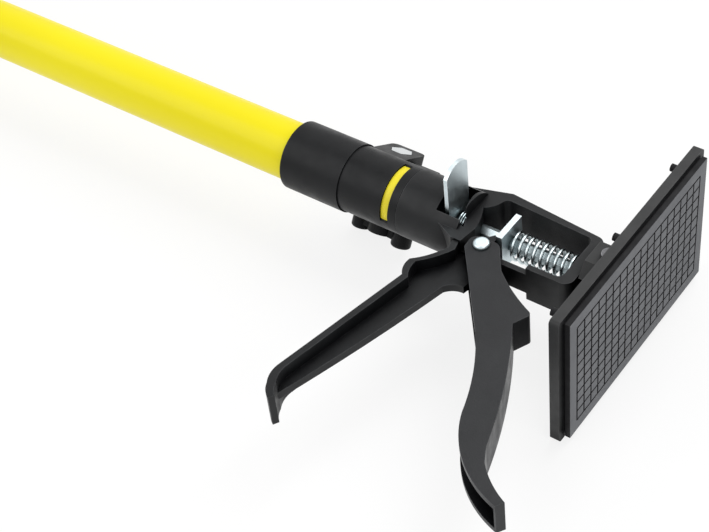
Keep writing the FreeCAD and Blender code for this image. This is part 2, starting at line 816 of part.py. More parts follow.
def releasePlate():
    """Thumb plate that frees the rod; it tips forward about its foot in the notch."""
    body = newBody("release_plate", FACE - S["release_back"])
    half = S["release_half_y"]
    foot = -S["notch_floor"] + S["release_foot_gap"]
    face = onPlane(body, "release_outline", "YZ_Plane")
    outline(face, [(-half, foot), (half, foot), (half, S["release_side_z"]), (-half, S["release_side_z"])],
            {2: -(SIZES["release_top_z"] - SIZES["release_side_z"])})
    pad(body, "release_blank", face, S["release_thick"])
    hole = onPlane(body, "release_hole_circle", "YZ_Plane")
    circle(hole, rodCorner() + S["release_hole_gap"])
    pocket(body, "release_hole", hole, S["release_thick"], back=True)
    return body


def coilSpring(name, start, finish, radius, wire, turns):
    """Compression spring along X between two X places on the pole."""
    length = finish - start - wire
    helix = Part.makeHelix(length / turns, length, radius)
    section = Part.Wire([Part.Circle(Vector(radius, 0, 0), Vector(0, 1, 0), wire / 2).toShape()])
    coil = Part.Wire(helix).makePipeShell([section], True, True)
    item = doc.addObject("Part::Feature", name)
    item.Shape = coil
    item.Placement = FreeCAD.Placement(Vector(start + wire / 2, 0, 0), ALONG_X)
    return item


def mainSpring():
    gap = SIZES["spring_seat_gap"]
    start = SIZES["overall_length"] - SIZES["drive_back"] + SIZES["drive_thick"] + gap
    finish = SIZES["overall_length"] - SIZES["window_front"] - gap
    return coilSpring("main_spring", start, finish, SIZES["spring_mid_r"], SIZES["spring_wire"], 9)


def releaseSpring():
    gap = SIZES["spring_seat_gap"]
    start = SIZES["overall_length"] - SIZES["release_back"] + SIZES["release_thick"] + gap
    finish = SIZES["overall_length"] - SIZES["release_seat"] - gap
    return coilSpring("release_spring", start, finish, SIZES["release_mid_r"], SIZES["release_wire"], 3)


def trigger():
    """Channel-shaped trigger, open towards the grip, with two cams that push the drive plate."""
    body = newBody("trigger", FACE - S["rivet_back"], -S["rivet_drop"])
    names = ("heel", "palm", "waist", "toe", "tip", "hook", "shin", "neck", "knuckle", "brow",
             "cheek", "crown", "nape", "back")
    skin = onPlane(body, "trigger_outline", "XY_Plane")
    outline(skin, [at("trig_" + name) for name in names],
            {1: 2.2, 2: -6.4, 4: 1.2, 6: -2.2, 8: 1.2, 10: -0.8, 12: -1.2})
    pad(body, "trigger_blank", skin, 2 * S["trigger_half"], "Symmetric")
    inside = S["trigger_half"] - S["trigger_plate"]
    far = S["trigger_half"] * 2
    hollow = onPlane(body, "hollow_outline", "XY_Plane")
    names = ("top", "knuckle", "neck", "shin", "hook", "tip")
    tip = at("hollow_tip")
    outline(hollow, [at("hollow_" + name) for name in names]
            + [(tip[0], tip[1] - far), (-2 * far, tip[1] - far), (-2 * far, far), (S["hollow_top_x"], far)],
            {2: 2.2, 4: 1.2})
    pocket(body, "hollow", hollow, 2 * inside, "Symmetric")
    cam = onPlane(body, "cam_outline", "XY_Plane")
    outline(cam, [at("cam_" + name) for name in ("heel", "toe", "cheek", "throat", "nose", "top", "nape")])
    pad(body, "cams", cam, 2 * inside + S["trigger_plate"], "Symmetric")
    split = onPlane(body, "cam_split_outline", "XY_Plane")
    rectangle(split, (-far, -S["boss_r"] * 2), (S["hollow_top_x"], far))
    pocket(body, "cam_split", split, 2 * S["cam_inner"], "Symmetric")
    hole = onPlane(body, "trigger_hole_circle", "XY_Plane")
    circle(hole, S["rivet_r"] + S["pin_gap"])
    pocket(body, "trigger_hole", hole, 2 * far, "Symmetric")
    fillet(body, "knuckle_round", S["pad_round"],
           lambda edge: upright(edge) and near(edge, S["trig_knuckle_x"], S["trig_knuckle_y"]))
    return body


def triggerRivet():
    x, y = FACE - S["rivet_back"], -S["rivet_drop"]
    half = S["trigger_half"] + S["spring_seat_gap"]
    shank = cylinder("rivet_shank", S["rivet_r"], 2 * half, x, y, -half, Rotation())
    heads = [cylinder("rivet_head_" + name, S["rivet_head_r"], S["rivet_head"], x, y, z, Rotation())
             for name, z in (("top", half), ("bottom", -half - S["rivet_head"]))]
    blank = fuse("rivet_blank", [shank] + heads)
    reach = SIZES["trigger_half"] + SIZES["spring_seat_gap"] + SIZES["rivet_head"] - 0.05
    return roundEdges("trigger_rivet", blank, S["rivet_round"],
                      lambda edge: abs(edge.CenterOfMass.z) > reach)


# ---- tilting pads: one set of shapes, used at both ends of the pole ----

def padEnd(side):
    """Turn and place of a pad's own frame, in which its face is at 0 and the pole lies along -X."""
    if side == "head":
        return FACE, Rotation()
    return asSize(0), Rotation(Vector(0, 0, 1), 180)


def pegPlaces():
    return [(y * S["peg_y"], z * S["peg_z"]) for y in (-1, 0, 1) for z in (-1, 1)]


def padPlate(side):
    x, turn = padEnd(side)
    body = newBody(side + "_pad_plate", x, turn=turn)
    front = S["rubber_thick"]
    face = onPlane(body, "plate_outline", "YZ_Plane", -front)
    rectangle(face, (-S["pad_length"] / 2, -S["pad_width"] / 2), (S["pad_length"] / 2, S["pad_width"] / 2))
    pad(body, "plate", face, S["pad_plate"], back=True)
    fillet(body, "plate_corners", S["pad_round"],
           lambda edge: isinstance(edge.Curve, Part.Line)
           and abs(edge.tangentAt(edge.FirstParameter).x) > 0.999)
    inner = S["knuckle_half_z"] + S["pad_ear_gap"]
    for name in ("upper", "lower"):
        padEar(body, name, inner)
    hinge = onPlane(body, "hinge_hole", "XY_Plane")
    circle(hinge, S["pin_r"] + S["pin_gap"], -S["pin_back"], 0)
    pocket(body, "pin_hole", hinge, S["pad_width"], "Symmetric")
    holes = onPlane(body, "peg_holes", "YZ_Plane", -front)
    for y, z in pegPlaces():
        circle(holes, S["peg_r"], y, z)
    pocket(body, "peg_hole", holes, S["pad_plate"])
    return body


def padEar(body, name, inner):
    """One hinge ear: a lug on the plate's back with sloping sides, from inner outwards."""
    side = 1 if name == "upper" else -1
    outer = inner + S["pad_ear_thick"]
    root = S["pad_ear_base_half"]
    crest = S["pad_ear_top_half"]
    lug = onPlane(body, name + "_ear_outline", "YZ_Plane", -S["pad_ear_reach"])
    outline(lug, [(-root, side * inner), (root, side * inner), (crest, side * outer), (-crest, side * outer)])
    pad(body, name + "_ear", lug, S["pad_ear_reach"] - S["rubber_thick"] - S["pad_plate"] / 2)


def padRubber(side):
    """Rubber sheet with a square tread, a grooved edge and pegs pulled through the plate."""
    x, turn = padEnd(side)
    body = newBody(side + "_pad_rubber", x, turn=turn)
    halfY = S["pad_length"] / 2 - S["rubber_margin_y"]
    halfZ = S["pad_width"] / 2 - S["rubber_margin_z"]
    face = onPlane(body, "rubber_outline", "YZ_Plane")
    rectangle(face, (-halfY, -halfZ), (halfY, halfZ))
    pad(body, "rubber", face, S["rubber_thick"], back=True)
    pegs = onPlane(body, "peg_circles", "YZ_Plane", -S["rubber_thick"])
    for y, z in pegPlaces():
        circle(pegs, S["peg_r"], y, z)
    pad(body, "pegs", pegs, S["pad_plate"] + S["peg_length"], back=True)
    edgeGroove(body, halfY, halfZ)
    treadGrooves(body)
    return body


def edgeGroove(body, halfY, halfZ):
    """A groove right round the sheet's edge, made as two nested rectangles."""
    depth = S["edge_groove"]
    ring = onPlane(body, "edge_groove_outline", "YZ_Plane", -S["edge_groove_back"])
    rectangle(ring, (-halfY - 1, -halfZ - 1), (halfY + 1, halfZ + 1))
    innerRectangle(ring, halfY - depth, halfZ - depth)
    pocket(body, "edge_groove_cut", ring, depth)


def innerRectangle(sketch, halfY, halfZ):
    """A second closed rectangle in the same sketch."""
    first = sketch.GeometryCount
    corners = [(-halfY, -halfZ), (halfY, -halfZ), (halfY, halfZ), (-halfY, halfZ)]
    for number, start in enumerate(corners):
        end = corners[(number + 1) % 4]
        sketch.addGeometry(Part.LineSegment(Vector(start[0].value, start[1].value, 0),
                                            Vector(end[0].value, end[1].value, 0)))
    for number, corner in enumerate(corners):
        side = first + number
        sketch.addConstraint(Sketcher.Constraint("Coincident", side, 2, first + (number + 1) % 4, 1))
        pin(sketch, side, 1, *corner)


def treadGrooves(body):
    """Crossed grooves that leave square blocks, cut by two patterned pockets."""
    pitch = S["tread_pitch"]
    columns = int((SIZES["pad_length"] - 2 * SIZES["rubber_margin_y"]) // SIZES["tread_pitch"]) - 2
    rows = int((SIZES["pad_width"] - 2 * SIZES["rubber_margin_z"]) // SIZES["tread_pitch"]) - 2
    groove = S["tread_groove"] / 2
    endY = pitch * columns / 2
    endZ = pitch * rows / 2
    for name, axis, low, high, count, span in (
            ("columns", "V_Axis", (-endY - groove, -endZ), (-endY + groove, endZ), columns + 1, 2 * endY),
            ("rows", "H_Axis", (-endY, -endZ - groove), (endY, -endZ + groove), rows + 1, 2 * endZ)):
        sketch = onPlane(body, name + "_groove", "YZ_Plane")
        rectangle(sketch, low, high)
        cutter = pocket(body, name + "_first", sketch, S["tread_depth"])
        pattern = body.newObject("PartDesign::LinearPattern", name)
        pattern.Originals = [cutter]
        pattern.Direction = (sketch, ["H_Axis" if axis == "V_Axis" else "V_Axis"])
        bind(pattern, "Length", span)
        pattern.Occurrences = count
        body.Tip = pattern
        doc.recompute()


def knuckleOutline(body, rear):
    """Plan outline of the block that the pad hinges on, rounded about the hinge pin."""
    half = S["knuckle_half_y"]
    plan = onPlane(body, "knuckle_outline", "XY_Plane")
    bulge = -SIZES["knuckle_half_y"] * (1 - math.sqrt(0.5))
    outline(plan, [(-rear, -half), (-S["pin_back"], -half), (-S["pin_back"] + half, 0),
                   (-S["pin_back"], half), (-rear, half)],
            {1: bulge, 2: bulge})
    pad(body, "knuckle", plan, 2 * S["knuckle_half_z"], "Symmetric")


def hingeHole(body):
    hole = onPlane(body, "hinge_hole", "XY_Plane")
    circle(hole, S["pin_r"], -S["pin_back"], 0)
    pocket(body, "pin_hole", hole, S["pad_width"], "Symmetric")


def rodKnuckle():
    """Block on the rod's front end that carries the head pad's hinge pin."""
    body = newBody("rod_knuckle", FACE)
    rear = S["frame_front"] - S["knuckle_gap"]
    knuckleOutline(body, rear)
    hingeHole(body)
    socket = onPlane(body, "rod_socket_circle", "YZ_Plane", -rear)
    circle(socket, rodCorner())
    pocket(body, "rod_socket", socket, rear - S["rod_front"], back=True)
    cross = onPlane(body, "cross_pin_circle", "XY_Plane")
    circle(cross, S["cross_pin_r"], -crossPinBack(), 0)
    pocket(body, "cross_pin_hole", cross, S["pad_width"], "Symmetric")
    return body


def crossPinBack():
    return (S["frame_front"] - S["knuckle_gap"] + S["rod_front"]) / 2 + S["cross_pin_r"] / 2


def rodCrossPin():
    """Pin through the knuckle and the rod."""
    half = S["knuckle_half_z"]
    return cylinder("rod_cross_pin", S["cross_pin_r"], 2 * half, FACE - crossPinBack(), 0, -half, Rotation())


def hingePin(side):
    x, turn = padEnd(side)
    half = S["knuckle_half_z"] + S["pad_ear_gap"] + S["pad_ear_thick"]
    pinX = x - S["pin_back"] if side == "head" else S["pin_back"]
    shank = cylinder(side + "_pin_shank", S["pin_r"], 2 * half, pinX, 0, -half, Rotation())
    tip = cylinder(side + "_pin_tip", S["pin_r"], 2 * S["pad_ear_gap"], pinX, 0, half, Rotation())
    head = cylinder(side + "_pin_head", S["pin_r"] * 1.5, S["cross_pin_r"], pinX, 0,
                    half + S["pad_ear_gap"], Rotation())
    return fuse(side + "_hinge_pin", [shank, tip, head])


# ---- foot plug ----

def footBack():
    """X of the foot end of the outer tube."""
    return S["frame_front"] + S["plug_neck"] + S["plug_flange"]


def plugScrewX():
    return footBack() + S["plug_depth"] / 2


def footPlug():
    """Plug in the tube's foot end, with the block that the foot pad hinges on."""
    body = newBody("foot_plug", turn=Rotation(Vector(0, 0, 1), 180))
    knuckleOutline(body, S["frame_front"] + S["plug_neck"])
    flange = onPlane(body, "flange_circle", "YZ_Plane", -footBack())
    circle(flange, S["plug_flange_r"])
    pad(body, "flange", flange, S["plug_flange"])
    plug = onPlane(body, "plug_circle", "YZ_Plane", -footBack() - S["plug_depth"])
    circle(plug, S["outer_tube_r"] - S["outer_tube_wall"])
    pad(body, "plug", plug, S["plug_depth"])
    hingeHole(body)
    screw = onPlane(body, "plug_screw_circle", "XY_Plane", -2 * S["outer_tube_r"])
    circle(screw, S["plug_screw_r"], -plugScrewX(), 0)
    pocket(body, "plug_screw_hole", screw, 2 * S["outer_tube_r"], back=True)
    return body


def plugScrew():
    x = plugScrewX()
    head = cylinder("plug_screw_cap", S["plug_screw_head_r"], S["plug_screw_head"], x, 0,
                    -S["outer_tube_r"] - S["plug_screw_head"], Rotation())
    shank = cylinder("plug_screw_shank", S["plug_screw_r"], S["outer_tube_r"], x, 0,
                     -S["outer_tube_r"], Rotation())
    return fuse("foot_plug_screw", [head, shank])


def buildAll():
    pieces = [outerTube(), innerTube(), guideBush(), clampCollar(), clampBolt(), clampWasher(),
              wingKnob(), clampLiner(), knobNut(), headBody(), neckScrew(), pushRod(), rodStop(),
              drivePlate(), releasePlate(), mainSpring(), releaseSpring(), trigger(), triggerRivet(),
              rodKnuckle(), rodCrossPin(), footPlug(), plugScrew()]
    for side in ("head", "foot"):
        pieces += [hingePin(side), padPlate(side), padRubber(side)]
    return pieces


def export(pieces):
    doc.recompute()
    for item in doc.Objects:
        if "Invalid" in item.State or "Error" in item.State:
            raise RuntimeError("%s failed: %s" % (item.Name, item.State))
    os.makedirs("parts", exist_ok=True)
    for piece in pieces:
        shape = piece.Shape
        if shape.isNull() or not shape.isValid():
            raise RuntimeError(piece.Label + " has no valid shape")
        shape.exportStep(os.path.join("parts", piece.Label + ".step"))
        span = shape.BoundBox
        print("%-18s solids %d volume %9.1f  x %7.1f..%7.1f  y %6.1f..%6.1f  z %6.1f..%6.1f" % (
            piece.Label, len(shape.Solids), shape.Volume, span.XMin, span.XMax, span.YMin, span.YMax,
            span.ZMin, span.ZMax))


export(buildAll())
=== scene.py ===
import json
import math

import bpy
from mathutils import Matrix, Vector


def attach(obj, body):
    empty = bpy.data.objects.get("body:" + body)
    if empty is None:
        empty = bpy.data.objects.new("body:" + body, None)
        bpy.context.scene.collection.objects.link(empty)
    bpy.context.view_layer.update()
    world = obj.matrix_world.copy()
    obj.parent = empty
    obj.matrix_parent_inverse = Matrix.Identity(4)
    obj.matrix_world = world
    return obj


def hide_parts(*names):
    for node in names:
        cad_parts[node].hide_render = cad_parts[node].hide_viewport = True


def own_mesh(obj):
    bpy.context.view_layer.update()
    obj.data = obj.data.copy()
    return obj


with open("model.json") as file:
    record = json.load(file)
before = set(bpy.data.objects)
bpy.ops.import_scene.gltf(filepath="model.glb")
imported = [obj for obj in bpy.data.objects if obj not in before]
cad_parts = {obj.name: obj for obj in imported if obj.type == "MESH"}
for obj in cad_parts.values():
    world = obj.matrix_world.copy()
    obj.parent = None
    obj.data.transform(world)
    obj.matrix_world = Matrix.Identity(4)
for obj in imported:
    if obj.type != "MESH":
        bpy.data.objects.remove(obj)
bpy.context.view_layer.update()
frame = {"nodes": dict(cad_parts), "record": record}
nodes = frame["nodes"]
print("frame loaded:", len(nodes), "nodes")

# noise rarely leaves this span, so tones and sheens are spread over it
noiseLow = 0.3
noiseHigh = 0.7


# one material, with the few node moves that every finish here needs
class Tree:
    def __init__(self, name, roughness, metallic=0.0):
        self.material = bpy.data.materials.new(name)
        self.material.use_nodes = True
        self.nodes = self.material.node_tree.nodes
        self.links = self.material.node_tree.links
        self.shader = self.nodes["Principled BSDF"]
        self.shader.inputs["Roughness"].default_value = roughness
        self.shader.inputs["Metallic"].default_value = metallic
        self.place = self.add("ShaderNodeTexCoord").outputs["Object"]

    def add(self, kind, **settings):
        node = self.nodes.new(kind)
        for key, value in settings.items():
            setattr(node, key, value)
        return node

    def join(self, output, target):
        self.links.new(output, target)

    def stretched(self, scale):
        mapping = self.add("ShaderNodeMapping")
        mapping.inputs["Scale"].default_value = scale
        self.join(self.place, mapping.inputs["Vector"])
        return mapping.outputs["Vector"]

    def noise(self, scale, detail=3.0, rough=0.5, where=None):
        node = self.add("ShaderNodeTexNoise")
        node.inputs["Scale"].default_value = scale
        node.inputs["Detail"].default_value = detail
        node.inputs["Roughness"].default_value = rough
        self.join(where or self.place, node.inputs["Vector"])
        return node.outputs["Fac"]

    def sums(self, operation, first, second=None):
        node = self.add("ShaderNodeMath", operation=operation)
        for socket, value in zip(node.inputs, (first, second)):
            if isinstance(value, (int, float)):
                socket.default_value = value
            elif value is not None:
                self.join(value, socket)
        return node.outputs[0]

    def remap(self, value, low, high, toLow, toHigh):
        node = self.add("ShaderNodeMapRange")
        for name, number in (("From Min", low), ("From Max", high), ("To Min", toLow), ("To Max", toHigh)):
            node.inputs[name].default_value = number
        self.join(value, node.inputs["Value"])
        return node.outputs["Result"]

    def ramp(self, value, stops):
        node = self.add("ShaderNodeValToRGB")
        elements = node.color_ramp.elements
        while len(elements) < len(stops):
            elements.new(0.5)
        for element, (position, colour) in zip(elements, stops):
            element.position = position
            element.color = tuple(colour) + (1.0,)
        self.join(value, node.inputs["Fac"])
        return node.outputs["Color"]

    def mix(self, factor, first, second):
        node = self.add("ShaderNodeMix", data_type="RGBA")
        self.join(factor, node.inputs[0])
        for socket, value in ((node.inputs[6], first), (node.inputs[7], second)):
            if isinstance(value, tuple):
                socket.default_value = value + (1.0,)
            else:
                self.join(value, socket)
        return node.outputs[2]

    def bump(self, height, strength, distance, under=None):
        node = self.add("ShaderNodeBump")
        node.inputs["Strength"].default_value = strength
        node.inputs["Distance"].default_value = distance
        self.join(height, node.inputs["Height"])
        if under:
            self.join(under, node.inputs["Normal"])
        return node.outputs["Normal"]

    # this mask carries the painted edge highlights of the dark finishes and metals, and the painted shade on
    # the rubber's block edges
    # 0 on flats and 1 along outer and inner edges, within the given reach in metres;
    # the last numbers are how far the normal has to swing before an edge starts and is full
    def edges(self, reach, start=0.99, full=0.86):
        bevel = self.add("ShaderNodeBevel", samples=6)
        bevel.inputs["Radius"].default_value = reach
        surface = self.add("ShaderNodeNewGeometry")
        dot = self.add("ShaderNodeVectorMath", operation="DOT_PRODUCT")
        self.join(bevel.outputs["Normal"], dot.inputs[0])
        self.join(surface.outputs["Normal"], dot.inputs[1])
        return self.remap(dot.outputs["Value"], start, full, 0.0, 1.0)

    # 0 deep in a recess and 1 out in the open, judged over the given reach in metres; the mask for painted
    # shade in recesses
    def openness(self, reach, deep=0.35, free=0.9):
        cover = self.add("ShaderNodeAmbientOcclusion", samples=8)
        cover.inputs["Distance"].default_value = reach
        return self.remap(cover.outputs["AO"], deep, free, 0.0, 1.0)

    def colour(self, output):
        self.join(output, self.shader.inputs["Base Color"])

    # sheen that wanders to both sides of the roughness in the dictionary, patch by patch
    def sheen(self, spec, rough=0.5):
        patches = self.noise(spec["sheenScale"], 4.0, rough)
        wander = self.remap(patches, noiseLow, noiseHigh,
                            spec["roughness"] - spec["smoother"], spec["roughness"] + spec["duller"])
        self.join(wander, self.shader.inputs["Roughness"])

    def normal(self, output):
        self.join(output, self.shader.inputs["Normal"])


# gloss paint on the pole: a clear coat over a faint orange peel
yellowCoat = {"dark": (0.85, 0.73, 0.004), "light": (0.90, 0.79, 0.006), "cloudScale": 7.0,
              "shine": 0.22, "coat": 0.12, "coatRoughness": 0.12,
              "roughness": 0.38, "sheenScale": 90.0, "smoother": 0.04, "duller": 0.06,
              "peelScale": 420.0, "peelStrength": 0.25, "peelDepth": 0.00002}


def makeYellowCoat():
    spec = yellowCoat
    tree = Tree("yellowCoat", spec["roughness"])
    tree.shader.inputs["Specular IOR Level"].default_value = spec["shine"]
    tree.shader.inputs["Coat Weight"].default_value = spec["coat"]
    tree.shader.inputs["Coat Roughness"].default_value = spec["coatRoughness"]
    cloud = tree.noise(spec["cloudScale"], 2.0)
    tree.colour(tree.ramp(cloud, [(noiseLow, spec["dark"]), (noiseHigh, spec["light"])]))
    tree.sheen(spec)
    tree.normal(tree.bump(tree.noise(spec["peelScale"], 2.0), spec["peelStrength"], spec["peelDepth"]))
    return tree.material


# split liner under the clamp: the same yellow, dyed through and duller
linerPlastic = {"dark": (0.80, 0.66, 0.010), "light": (0.88, 0.75, 0.016), "cloudScale": 120.0,
                "roughness": 0.45, "sheenScale": 200.0, "smoother": 0.06, "duller": 0.08,
                "grainScale": 1400.0, "grainStrength": 0.3, "grainDepth": 0.00003}


def makeLiner():
    spec = linerPlastic
    tree = Tree("linerPlastic", spec["roughness"])
    cloud = tree.noise(spec["cloudScale"], 3.0)
    tree.colour(tree.ramp(cloud, [(noiseLow, spec["dark"]), (noiseHigh, spec["light"])]))
    tree.sheen(spec)
    tree.normal(tree.bump(tree.noise(spec["grainScale"], 3.0), spec["grainStrength"], spec["grainDepth"]))
    return tree.material


# dark coats and mouldings: fine grain, uneven sheen, painted highlights along the edges and painted shade in
# the recesses
def makeDark(name, spec):
    tree = Tree(name, spec["roughness"])
    # painted shade: in recesses the shine drops and the colour turns to the near-black recess tone
    free = tree.openness(spec["recess"])
    shine = tree.remap(free, 0.0, 1.0, spec["shine"] * spec["recessShine"], spec["shine"])
    tree.join(shine, tree.shader.inputs["Specular IOR Level"])
    base = tree.ramp(tree.noise(spec["cloudScale"], 5.0, 0.6),
                     [(noiseLow, spec["dark"]), (noiseHigh, spec["light"])])
    # painted highlight: a patchy lighter tone along the edges
    patches = tree.remap(tree.noise(spec["highlightPatchScale"], 4.0, 0.6), 0.4, 0.6, spec["leastHighlight"], 1.0)
    highlightedEdges = tree.sums("MULTIPLY", tree.edges(spec["highlightReach"]), patches)
    tree.colour(tree.mix(free, spec["paintedRecessShade"], tree.mix(highlightedEdges, base, spec["paintedEdgeHighlight"])))
    tree.sheen(spec)
    broad = tree.bump(tree.noise(spec["broadScale"], 3.0), spec["broadStrength"], spec["broadDepth"])
    fine = tree.noise(spec["grainScale"], 3.0, 0.6)
    tree.normal(tree.bump(fine, spec["grainStrength"], spec["grainDepth"], broad))
    return tree.material


# what all the dark finishes share
# the near-black recess colour is painted shade, and the edge reach and patch numbers set the painted edge
# highlights
darkBase = {"cloudScale": 60.0, "recess": 0.02, "recessShine": 0.15, "paintedRecessShade": (0.002, 0.002, 0.0025),
            "highlightReach": 0.0008, "highlightPatchScale": 160.0, "leastHighlight": 0.3,
            "sheenScale": 140.0, "smoother": 0.07, "duller": 0.10,
            "broadScale": 220.0, "broadStrength": 0.2, "grainStrength": 0.5}
# the lighter edge tone of each dark finish is a painted highlight
headCoat = dict(darkBase, dark=(0.0050, 0.0055, 0.0062), light=(0.0090, 0.0098, 0.0110),
                paintedEdgeHighlight=(0.050, 0.053, 0.056), roughness=0.42, shine=0.28,
                broadDepth=0.00012, grainScale=1500.0, grainDepth=0.00008)
triggerCoat = dict(headCoat, dark=(0.012, 0.0125, 0.0142), light=(0.017, 0.0178, 0.0198), roughness=0.38)
collarPlastic = dict(darkBase, dark=(0.0060, 0.0064, 0.0070), light=(0.0100, 0.0105, 0.0115),
                     paintedEdgeHighlight=(0.026, 0.027, 0.029), roughness=0.40, shine=0.20,
                     broadDepth=0.00006, grainScale=2200.0, grainDepth=0.00004)
knobPlastic = dict(collarPlastic, roughness=0.36)
platePlastic = dict(darkBase, dark=(0.014, 0.0145, 0.015), light=(0.022, 0.0225, 0.023),
                    paintedEdgeHighlight=(0.045, 0.046, 0.047), roughness=0.46, shine=0.34,
                    broadDepth=0.000075, grainScale=1800.0, grainDepth=0.00005)
knucklePlastic = dict(platePlastic, roughness=0.40)
bushPlastic = dict(darkBase, dark=(0.40, 0.41, 0.42), light=(0.47, 0.48, 0.49),
                   paintedEdgeHighlight=(0.58, 0.59, 0.60), roughness=0.5, shine=0.4,
                   broadDepth=0.00006, grainScale=1600.0, grainDepth=0.00004)


# pad facing: a grey face, with painted shade in the grooves, down the sides and along the rounded block
# edges
rubberSheet = {"face": (0.112, 0.115, 0.123), "spots": (0.150, 0.154, 0.163), "cloudScale": 45.0,
               "side": (0.004, 0.004, 0.005), "shine": 0.24,
               "roughness": 0.62, "sheenScale": 180.0, "smoother": 0.08, "duller": 0.1,
               "broadScale": 260.0, "broadStrength": 0.25,
               "grainScale": 1300.0, "grainStrength": 0.4, "grainDepth": 0.00010,
               "middle": 0.575, "faceAt": 0.575, "lipBottom": 0.00014, "lipTop": 0.00004,
               "blockRound": 0.0006}


def makeRubber():
    spec = rubberSheet
    tree = Tree("rubberSheet", spec["roughness"])
    tree.shader.inputs["Specular IOR Level"].default_value = spec["shine"]
    face = tree.ramp(tree.noise(spec["cloudScale"], 5.0, 0.6), [(0.3, spec["face"]), (0.75, spec["spots"])])
    axes = tree.add("ShaderNodeSeparateXYZ")
    tree.join(tree.place, axes.inputs[0])
    # both pads lie as far from the pole's middle, so one distance serves the two faces
    along = tree.sums("ABSOLUTE", tree.sums("SUBTRACT", axes.outputs["X"], spec["middle"]))
    # painted shade: below the face, the groove walls and the sheet's sides take the near-black shade tone
    raised = tree.remap(along, spec["faceAt"] - spec["lipBottom"], spec["faceAt"] - spec["lipTop"], 0.0, 1.0)
    # painted shade along the rounded edges of the blocks
    shaded = tree.mix(tree.edges(spec["blockRound"]), face, spec["side"])
    tree.colour(tree.mix(raised, spec["side"], shaded))
    tree.sheen(spec)
    broad = tree.bump(tree.noise(spec["broadScale"], 3.0), spec["broadStrength"], spec["grainDepth"])
    fine = tree.noise(spec["grainScale"], 4.0, 0.65)
    tree.normal(tree.bump(fine, spec["grainStrength"], spec["grainDepth"], broad))
    return tree.material


# bright metals: drawn lines along the stock, small stains, a painted highlight along the edges and painted
# shade in recesses
def makeMetal(name, spec):
    tree = Tree(name, spec["roughness"], 1.0)
    lines = tree.noise(1.0, 4.0, 0.6, tree.stretched(spec["drawn"]))
    base = tree.ramp(lines, [(0.25, spec["dark"]), (0.75, spec["light"])])
    # painted highlight: a lighter tone along the edges
    glinted = tree.mix(tree.edges(spec["glintReach"]), base, spec["edge"])
    # painted shade: the colour turns to the dark recess tone in recesses, such as between the coils
    tree.colour(tree.mix(tree.openness(spec["recess"]), spec["paintedRecessShade"], glinted))
    tree.sheen(spec, 0.6)
    tree.normal(tree.bump(lines, spec["lineStrength"], spec["lineDepth"]))
    return tree.material


# the edge tone is a painted highlight, and the recess tone is painted shade
zincPlate = {"dark": (0.66, 0.75, 0.78), "light": (0.70, 0.79, 0.82), "edge": (0.88, 0.92, 0.93),
             "glintReach": 0.0005, "recess": 0.005, "paintedRecessShade": (0.10, 0.14, 0.15),
             "roughness": 0.40, "sheenScale": 210.0, "smoother": 0.05, "duller": 0.08,
             "drawn": (60.0, 700.0, 60.0), "lineStrength": 0.1, "lineDepth": 0.000002}
springSteel = dict(zincPlate, dark=(0.66, 0.75, 0.77), light=(0.76, 0.83, 0.85), roughness=0.24)
boltSteel = dict(zincPlate, dark=(0.68, 0.70, 0.71), light=(0.75, 0.77, 0.78), roughness=0.42)
pinSteel = dict(zincPlate, dark=(0.10, 0.10, 0.105), light=(0.14, 0.14, 0.145),
                edge=(0.24, 0.24, 0.25), roughness=0.38)
brassInsert = dict(zincPlate, dark=(0.56, 0.40, 0.14), light=(0.70, 0.53, 0.22), edge=(0.80, 0.64, 0.32),
                   recess=0.003, paintedRecessShade=(0.16, 0.10, 0.03), roughness=0.28,
                   drawn=(300.0, 300.0, 60.0), lineDepth=0.000004)

finishes = {
    "yellow_paint": makeYellowCoat(),
    "liner_plastic": makeLiner(),
    "bush_plastic": makeDark("bushPlastic", bushPlastic),
    "collar_plastic": makeDark("collarPlastic", collarPlastic),
    "head_casting": makeDark("headCoat", headCoat),
    "trigger_casting": makeDark("triggerCoat", triggerCoat),
    "knob_plastic": makeDark("knobPlastic", knobPlastic),
    "zinc": makeMetal("zincPlate", zincPlate),
    "spring_steel": makeMetal("springSteel", springSteel),
    "bolt_steel": makeMetal("boltSteel", boltSteel),
    "brass": makeMetal("brassInsert", brassInsert),
    "knuckle_plastic": makeDark("knucklePlastic", knucklePlastic),
    "plate_plastic": makeDark("platePlastic", platePlastic),
    "rubber": makeRubber(),
    "blackened_pin": makeMetal("pinSteel", pinSteel),
}
print("finishes made:", len(finishes))

# pieces whose finish is not the one of their slot
ownFinish = {"head_hinge_pin": "blackened_pin", "foot_hinge_pin": "blackened_pin"}

# how far each piece's sharp edges are rounded, in metres
edgeSteps = 3
edgeAngle = 38
softEdges = {"head_body": 0.0007, "trigger": 0.0006, "clamp_collar": 0.0006, "wing_knob": 0.0004,
             "head_pad_plate": 0.0005, "foot_pad_plate": 0.0005, "rod_knuckle": 0.0005, "foot_plug": 0.0005,
             "release_plate": 0.0003, "drive_plate": 0.0003, "clamp_bolt": 0.0004, "clamp_washer": 0.0002,
             "trigger_rivet": 0.0004, "head_hinge_pin": 0.0003, "foot_hinge_pin": 0.0003}


def dressNodes():
    for part in frame["record"]["subparts"]:
        item = nodes[part["node"]]
        material = finishes[ownFinish.get(part["node"], part["material_slot"])]
        for holder in item.material_slots:
            holder.material = material
        if part["node"] in softEdges:
            rounding = item.modifiers.new("softEdge", "BEVEL")
            rounding.width = softEdges[part["node"]]
            rounding.segments = edgeSteps
            rounding.limit_method = "ANGLE"
            rounding.angle_limit = math.radians(edgeAngle)
            rounding.harden_normals = True


dressNodes()
print("nodes dressed")

# each coil is copied to a piece of its own on the head; kept is its share of length at the joint's limit,
# when it has shortened towards its front seat
springSpecs = {"main_spring": {"piece": "mainCoil", "joint": "drive_push", "kept": 0.92},
               "release_spring": {"piece": "releaseCoil", "joint": "release_tip", "kept": 0.64}}


